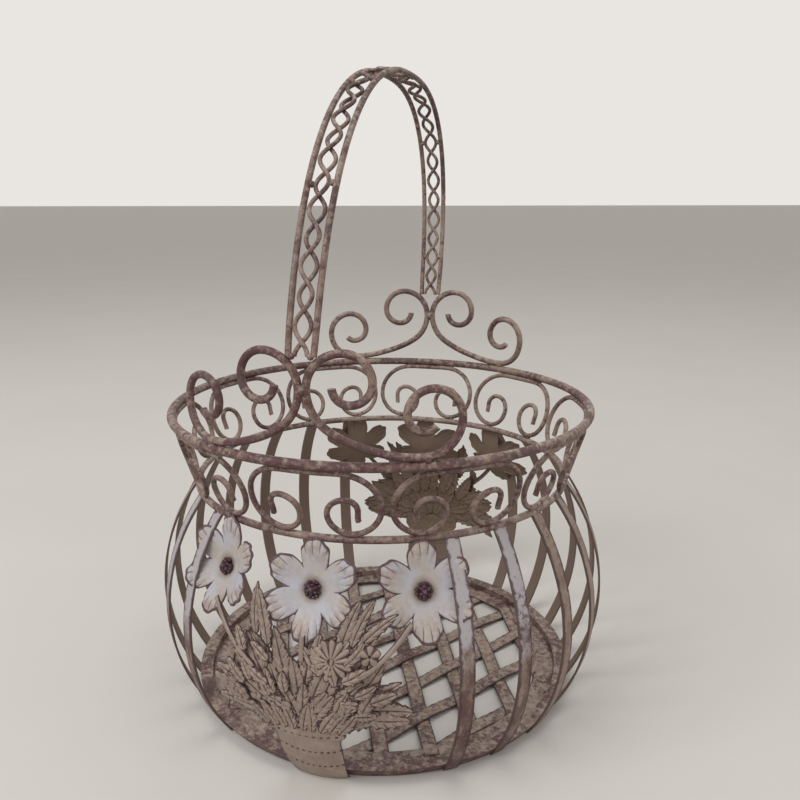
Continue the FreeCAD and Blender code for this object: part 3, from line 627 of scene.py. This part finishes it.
def lump(sheet, centre, radius, up, dice, squash=1.0):
    """Rough little ball."""
    rows = []
    turn_up = up.to_track_quat("Z", "Y")
    for i in range(9):
        lean = math.pi * i / 8
        row = []
        for j in range(12):
            turn = 2.0 * math.pi * j / 12
            dents = 0.14 * math.sin(3 * turn + lean * 2 + radius * 9e3)
            rough = radius * (1.0 + dents + dice.uniform(-0.05, 0.05))
            spot = Vector((math.sin(lean) * math.cos(turn), math.sin(lean) * math.sin(turn),
                           math.cos(lean) * squash)) * rough
            row.append(sheet.point(centre + turn_up @ spot, reach=0.5 + 0.5 * math.cos(lean)))
        rows.append(row)
    sheet.grid(rows, closed=True)


def stamens(name, azimuth, seed):
    """Crowded beads in the throat of a flower."""
    frame_here = flower_frame(azimuth)
    up = frame_here.to_3x3() @ Vector((0.0, 0.0, 1.0))
    dice = random.Random(seed)
    sheet = Sheet("reach")
    for count, ring, radius, rise in ((1, 0.0, 1.9, -2.6), (6, 2.1, 1.25, -3.4), (11, 3.7, 1.0, -4.2)):
        for number in range(count):
            turn = 2.0 * math.pi * number / count + dice.uniform(-0.2, 0.2)
            spot = Vector((ring * math.sin(turn), ring * math.cos(turn), rise + dice.uniform(-0.2, 0.3)))
            lump(sheet, frame_here @ (spot * MM), radius * dice.uniform(0.85, 1.2) * MM, up, dice)
    return sheet.made(name, (stamen,), "stamen_purple")


# --------------------------------------------------------------- base sheet

LATTICE_ANGLES = (54.5, 113.5)
LATTICE_PITCH = 27.0
LATTICE_BAR = 9.0
LATTICE_BARS = 8
LATTICE_LOW = 1.1


def other_bars(spot, family):
    """Which crossing bar a place is at, as a number that is whole on each bar's middle."""
    lean = math.radians(LATTICE_ANGLES[1 - family])
    distance = -spot.x * math.sin(lean) + spot.y * math.cos(lean)
    return distance / LATTICE_PITCH + (LATTICE_BARS - 1) / 2.0


def woven_bars(sheet):
    """Crowned bars that pass over and under each other across the base."""
    limit = BASE_RADIUS - 5.0
    for family, angle in enumerate(LATTICE_ANGLES):
        lean = math.radians(angle)
        along = Vector((math.cos(lean), math.sin(lean)))
        side = Vector((-along.y, along.x))
        for number in range(LATTICE_BARS):
            middle = side * ((number - (LATTICE_BARS - 1) / 2.0) * LATTICE_PITCH)
            if middle.length > limit - 4.0:
                continue
            half = math.sqrt(limit ** 2 - middle.length ** 2)
            rows = []
            steps = 2 * int(half / 2.2)
            for i in range(steps + 1):
                centre = middle + along * (half * (2.0 * i / steps - 1.0))
                phase = other_bars(centre, family)
                swing = math.cos(math.pi * (phase + number + family))
                rise = LATTICE_LOW + 1.3 + 0.85 * swing
                row = []
                for j in range(11):
                    off = j / 5.0 - 1.0
                    spot = centre + side * (off * LATTICE_BAR / 2.0)
                    crown = 0.9 * (1.0 - off * off)
                    twill = 0.22 * math.cos(2.0 * math.pi * (i / 2.6 + off * 0.9))
                    # The hollow value here marks painted shade along the bar edges and in the low parts
                    # of the twill.
                    dark = max(smooth(abs(off), 0.55, 1.0), 0.5 * smooth(-twill, 0.1, 0.22))
                    place = Vector((spot.x, spot.y, rise + crown + twill)) * MM
                    row.append(sheet.point(place, hollow=dark))
                rows.append(row)
            sheet.grid([list(reversed(row)) for row in rows])


def woven_base():
    """Plain edge of the base sheet with the woven lattice inside it."""
    sheet = Sheet("hollow")
    rows = []
    for i in range(9):
        share = i / 8
        radius = BASE_RADIUS - 12.0 * share
        bead = 1.0 * smooth(share, 0.6, 0.95) * (1.0 - smooth(share, 0.95, 1.0))
        row = []
        for j in range(144):
            place = polar(360.0 * j / 144, radius, LATTICE_LOW + 1.1 + bead)
            row.append(sheet.point(place, hollow=0.9 * smooth(share, 0.85, 1.0)))
        rows.append(row)
    sheet.grid([list(reversed(row)) for row in rows], closed=True)
    woven_bars(sheet)
    made = sheet.made("base_lattice_woven", (lattice,), "panel_taupe", 0.9 * MM)
    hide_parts("base_lattice")
    return made


# -------------------------------------------------------------------- welds

def weld_lumps():
    """Small beads of weld where the wires and ribs meet the hoops."""
    sheet = Sheet("reach")
    dice = random.Random(7)
    up = Vector((0.0, 0.0, 1.0))
    for side in (1, -1):
        for place in range(RIBS_PER_SIDE):
            azimuth = side * (RIB_FIRST + place * RIB_STEP)
            for shift in (-1.2, 1.0):
                turn = azimuth + shift + dice.uniform(-0.2, 0.2)
                spot = polar(turn, NECK_RADIUS + 0.9, NECK_HEIGHT - 1.6)
                lump(sheet, spot, dice.uniform(1.0, 1.5) * MM, up, dice, 0.8)
    for unit in range(COLLAR_UNITS):
        azimuth = unit * 360.0 / COLLAR_UNITS
        for shift in (-7.5, 7.5):
            spot = polar(azimuth + shift + dice.uniform(-0.8, 0.8), RIM_RADIUS - 0.4, RIM_HEIGHT - 2.8)
            lump(sheet, spot, dice.uniform(1.3, 1.8) * MM, up, dice, 0.7)
        for shift in (-10.6, 10.6):
            spot = polar(azimuth + shift + dice.uniform(-0.5, 0.5), NECK_RADIUS + 0.3, NECK_HEIGHT + 2.0)
            lump(sheet, spot, dice.uniform(1.2, 1.7) * MM, up, dice, 0.7)
    for facing in (0.0, 180.0):
        for side in (-1.0, 1.0):
            spot = polar(facing + side * math.degrees(58.0 / RIM_RADIUS), RIM_RADIUS, RIM_HEIGHT + 3.2)
            lump(sheet, spot, 2.4 * MM, up, dice, 0.8)
        spot = polar(facing, RIM_RADIUS, RIM_HEIGHT + 35.5)
        lump(sheet, spot, 2.6 * MM, up, dice, 1.1)
    return sheet.made("weld_lumps", (wire_worn,), "wire_taupe")


# ----------------------------------------------------------------- assembly

wire = wire_paint("wire_paint", 0.4, 0.5)
wire_worn = wire_paint("wire_paint_worn", 0.5, 0.8)
ribs = rib_paint()
inside = inside_paint()
relief = relief_paint()
lattice = lattice_paint()
petals = petal_paint()
stamen = stamen_paint()

for name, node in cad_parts.items():
    if name.startswith("rib_"):
        finish = ribs
    elif name.endswith("_panel"):
        finish = inside
    elif name in ("rim_hoop", "front_crest_left", "front_crest_right", "base_ring"):
        finish = wire_worn
    else:
        finish = wire
    node.data.materials.clear()
    node.data.materials.append(finish)

for panel_name, facing, seed in (("front", 0.0, 3), ("back", 180.0, 8)):
    relief_panel(panel_name + "_panel_relief", facing, seed)
    for place, word in ((-1, "left"), (0, "middle"), (1, "right")):
        node_name = "%s_flower_%s" % (panel_name, word)
        azimuth = facing + place * FLOWER_SPREAD
        bloom = flower(node_name + "_petals", azimuth, seed + place)
        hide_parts(node_name)
        throat = stamens(node_name + "_stamens", azimuth, seed + place)
        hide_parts(node_name + "_centre")
woven_base()
weld_lumps()


# ------------------------------------------------------------------- studio

def area_light(name, place, target, size, power, tint=(1.0, 1.0, 1.0)):
    lamp = bpy.data.lights.new(name, "AREA")
    lamp.size = size
    lamp.energy = power
    lamp.color = tint
    holder = bpy.data.objects.new(name, lamp)
    holder.location = place
    holder.rotation_euler = (Vector(target) - Vector(place)).to_track_quat("-Z", "Y").to_euler()
    bpy.context.scene.collection.objects.link(holder)


def pale_world():
    """Even pale surroundings; the camera sees them as plain off-white."""
    world = bpy.data.worlds.new("studio")
    bpy.context.scene.world = world
    world.use_nodes = True
    tree = world.node_tree
    background = tree.nodes["Background"]
    background.inputs["Color"].default_value = SURROUNDINGS
    path = tree.nodes.new("ShaderNodeLightPath")
    seen = tree.nodes.new("ShaderNodeMath")
    seen.operation = "MAXIMUM"
    tree.links.new(path.outputs["Is Camera Ray"], seen.inputs[0])
    tree.links.new(path.outputs["Is Glossy Ray"], seen.inputs[1])
    level = tree.nodes.new("ShaderNodeMapRange")
    level.inputs["To Min"].default_value = 0.5
    level.inputs["To Max"].default_value = 0.92
    tree.links.new(seen.outputs[0], level.inputs["Value"])
    tree.links.new(level.outputs[0], background.inputs["Strength"])


def floor():
    sheet_mesh = bpy.data.meshes.new("floor")
    reach = 40.0
    corners = [(-reach, -reach, 0), (reach, -reach, 0), (reach, reach, 0), (-reach, reach, 0)]
    sheet_mesh.from_pydata(corners, [], [(0, 1, 2, 3)])
    sheet_mesh.materials.append(floor_paint())
    made = bpy.data.objects.new("floor", sheet_mesh)
    bpy.context.scene.collection.objects.link(made)


def camera():
    lens = bpy.data.cameras.new("camera")
    lens.sensor_width = 36.0
    lens.lens = 35.53
    holder = bpy.data.objects.new("camera", lens)
    holder.location = (0.1378, -0.4507, 0.2961)
    holder.rotation_euler = (math.radians(90.0 - 14.23), math.radians(0.19), math.radians(15.6))
    bpy.context.scene.collection.objects.link(holder)
    bpy.context.scene.camera = holder


pale_world()
floor()
area_light("key", (-0.9, -1.1, 1.5), (0.0, 0.0, 0.12), 1.1, 15.0)
area_light("fill", (1.5, -0.8, 0.9), (0.0, 0.0, 0.12), 1.6, 5.0)
area_light("top", (0.1, 0.5, 1.8), (0.0, 0.0, 0.1), 1.4, 5.0)
camera()
bpy.context.scene.view_settings.view_transform = "Standard"
